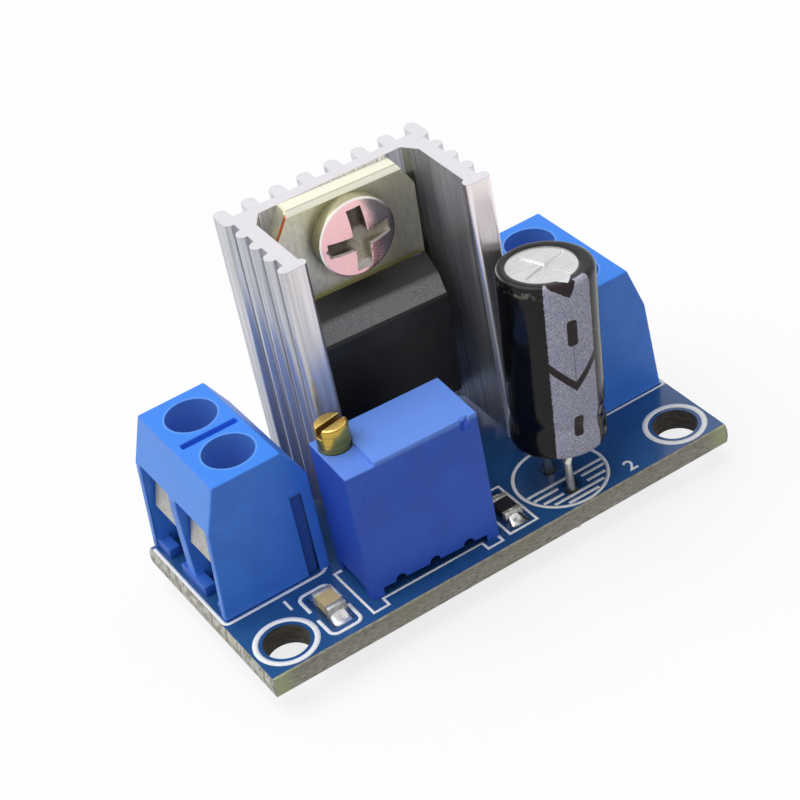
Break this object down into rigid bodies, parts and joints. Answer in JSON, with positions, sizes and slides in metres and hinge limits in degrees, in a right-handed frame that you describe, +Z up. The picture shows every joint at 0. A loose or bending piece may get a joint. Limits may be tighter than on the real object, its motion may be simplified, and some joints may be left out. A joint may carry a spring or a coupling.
{
  "type": "linear regulator module",
  "caption": "Adjustable linear voltage regulator board with screw terminals at both ends, ribbed heatsink, multi-turn trimmer and upright capacitor",
  "frame": {"origin": "under the middle of the board, level with the trimmed pin tips it stands on", "axes": "+X from the input end to the output end, +Y from the front edge to the back edge behind the heatsink, +Z up"},
  "size_m": [0.0358, 0.0168, 0.0248],
  "materials": {
    "solder_mask": "blue solder mask over glass fibre, white print",
    "terminal_plastic": "blue moulded plastic, satin",
    "tinned_clamp": "tin-plated brass strip",
    "plated_steel": "zinc-plated steel",
    "extruded_aluminium": "extruded, satin, sawn ends",
    "plated_tab": "nickel-plated copper",
    "black_epoxy": "moulded black epoxy, fine grain",
    "tinned_lead": "tin-plated copper",
    "bright_screw": "bright nickel-plated steel",
    "trimmer_plastic": "blue moulded plastic",
    "turned_brass": "turned brass",
    "black_rubber": "moulded rubber",
    "rotor_plastic": "natural nylon",
    "spring_bronze": "spring bronze",
    "alumina": "white alumina ceramic",
    "potting_resin": "dark potting resin",
    "can_aluminium": "drawn aluminium, scored top",
    "black_sleeve": "black shrink sleeve with a grey stripe",
    "tan_ceramic": "fired ceramic",
    "chip_black": "glazed resistor film",
    "tinned_end": "tin-plated end cap",
    "solder": "bright solder"
  },
  "bodies": {
    "board_assembly": {"circuit_board": "solder_mask", "input_terminal_housing": "terminal_plastic", "output_terminal_housing": "terminal_plastic", "heatsink": "extruded_aluminium", "regulator_tab": "plated_tab", "regulator_body": "black_epoxy", "regulator_leads": "tinned_lead", "regulator_screw": "bright_screw", "trimmer_housing": "trimmer_plastic", "trimmer_seal": "black_rubber", "trimmer_element": "alumina", "trimmer_resin": "potting_resin", "trimmer_pins": "tinned_lead", "capacitor_can": "can_aluminium", "capacitor_sleeve": "black_sleeve", "capacitor_bung": "black_rubber", "capacitor_leads": "tinned_lead", "chip_capacitor_body": "tan_ceramic", "chip_capacitor_ends": "tinned_end", "chip_resistor_body": "chip_black", "chip_resistor_ends": "tinned_end", "chip_solder": "solder", "pin_solder": "solder", "input_clamp_frame_1": "tinned_clamp", "input_clamp_frame_2": "tinned_clamp", "output_clamp_frame_1": "tinned_clamp", "output_clamp_frame_2": "tinned_clamp"},
    "input_pressure_pad_1": {"input_pressure_pad_1": "plated_steel"},
    "input_clamp_screw_1": {"input_clamp_screw_1": "plated_steel"},
    "input_pressure_pad_2": {"input_pressure_pad_2": "plated_steel"},
    "input_clamp_screw_2": {"input_clamp_screw_2": "plated_steel"},
    "output_pressure_pad_1": {"output_pressure_pad_1": "plated_steel"},
    "output_clamp_screw_1": {"output_clamp_screw_1": "plated_steel"},
    "output_pressure_pad_2": {"output_pressure_pad_2": "plated_steel"},
    "output_clamp_screw_2": {"output_clamp_screw_2": "plated_steel"},
    "trimmer_screw": {"trimmer_screw": "turned_brass"},
    "trimmer_rotor": {"trimmer_rotor": "rotor_plastic", "trimmer_wiper": "spring_bronze"}
  },
  "joints": [
    {"name": "input_clamp_lift_1", "type": "slide", "parent": "board_assembly", "child": "input_pressure_pad_1", "axis": [0, 0, 1], "range_m": [0, 0.00225]},
    {"name": "input_screw_turn_1", "type": "hinge", "parent": "input_pressure_pad_1", "child": "input_clamp_screw_1", "pos_m": [-0.01335, 0.0008, 0.0091], "axis": [0, 0, 1], "range_deg": [0, 1800]},
    {"name": "input_clamp_lift_2", "type": "slide", "parent": "board_assembly", "child": "input_pressure_pad_2", "axis": [0, 0, 1], "range_m": [0, 0.00225]},
    {"name": "input_screw_turn_2", "type": "hinge", "parent": "input_pressure_pad_2", "child": "input_clamp_screw_2", "pos_m": [-0.01335, 0.0058, 0.0091], "axis": [0, 0, 1], "range_deg": [0, 1800]},
    {"name": "output_clamp_lift_1", "type": "slide", "parent": "board_assembly", "child": "output_pressure_pad_1", "axis": [0, 0, 1], "range_m": [0, 0.00225]},
    {"name": "output_screw_turn_1", "type": "hinge", "parent": "output_pressure_pad_1", "child": "output_clamp_screw_1", "pos_m": [0.01335, 0.0058, 0.0091], "axis": [0, 0, 1], "range_deg": [0, 1800]},
    {"name": "output_clamp_lift_2", "type": "slide", "parent": "board_assembly", "child": "output_pressure_pad_2", "axis": [0, 0, 1], "range_m": [0, 0.00225]},
    {"name": "output_screw_turn_2", "type": "hinge", "parent": "output_pressure_pad_2", "child": "output_clamp_screw_2", "pos_m": [0.01335, 0.0008, 0.0091], "axis": [0, 0, 1], "range_deg": [0, 1800]},
    {"name": "trimmer_screw_turn", "type": "hinge", "parent": "board_assembly", "child": "trimmer_screw", "pos_m": [-0.00787, -0.00317, 0.0121], "axis": [0, 0, 1], "range_deg": [-4500, 4500]},
    {"name": "trimmer_rotor_turn", "type": "hinge", "parent": "board_assembly", "child": "trimmer_rotor", "pos_m": [-0.00374, -0.00337, 0.00843], "axis": [0.048, 0.9988, 0], "range_deg": [-125.5, 125.5]}
  ],
  "couplings": [
    {"joint": "input_screw_turn_1", "follows": "input_clamp_lift_1", "rad_per_m": 13962},
    {"joint": "input_screw_turn_2", "follows": "input_clamp_lift_2", "rad_per_m": 13962},
    {"joint": "output_screw_turn_1", "follows": "output_clamp_lift_1", "rad_per_m": 13962},
    {"joint": "output_screw_turn_2", "follows": "output_clamp_lift_2", "rad_per_m": 13962},
    {"joint": "trimmer_rotor_turn", "follows": "trimmer_screw_turn", "ratio": -0.027778}
  ]
}
